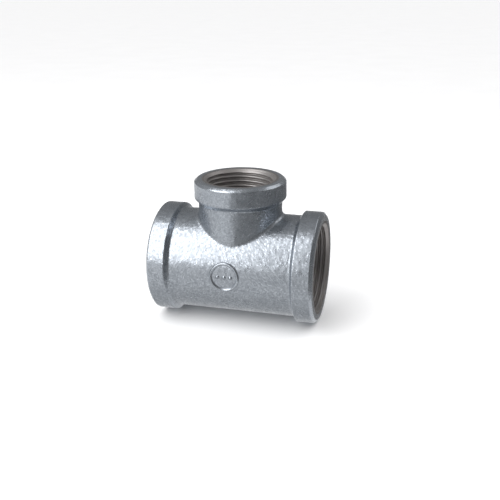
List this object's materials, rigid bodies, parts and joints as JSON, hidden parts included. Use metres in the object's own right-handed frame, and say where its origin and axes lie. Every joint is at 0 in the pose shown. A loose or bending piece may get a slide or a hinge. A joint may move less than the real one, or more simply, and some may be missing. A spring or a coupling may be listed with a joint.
{
  "type": "pipe reducing tee",
  "caption": "Banded reducing tee: a straight run with female pipe threads at both ends and a smaller threaded branch standing square off its middle.",
  "frame": {"origin": "on the branch axis, level with the lowest line of the two run bands, which is the middle of the bounding box's base", "axes": "+X along the run towards its right end, +Y away from the raised mark, +Z along the branch towards its open end"},
  "size_m": [0.08, 0.0538, 0.0689],
  "materials": {
    "galvanised_casting": "hot-dip galvanised, sand-cast texture",
    "machined_iron": "faced and tapped after galvanising, bare, lightly oiled"
  },
  "bodies": {
    "root": {"run_barrel": "galvanised_casting", "branch_neck": "galvanised_casting", "left_band": "galvanised_casting", "right_band": "galvanised_casting", "branch_band": "galvanised_casting", "cast_mark": "galvanised_casting", "left_socket": "machined_iron", "right_socket": "machined_iron", "branch_socket": "machined_iron"}
  },
  "joints": []
}
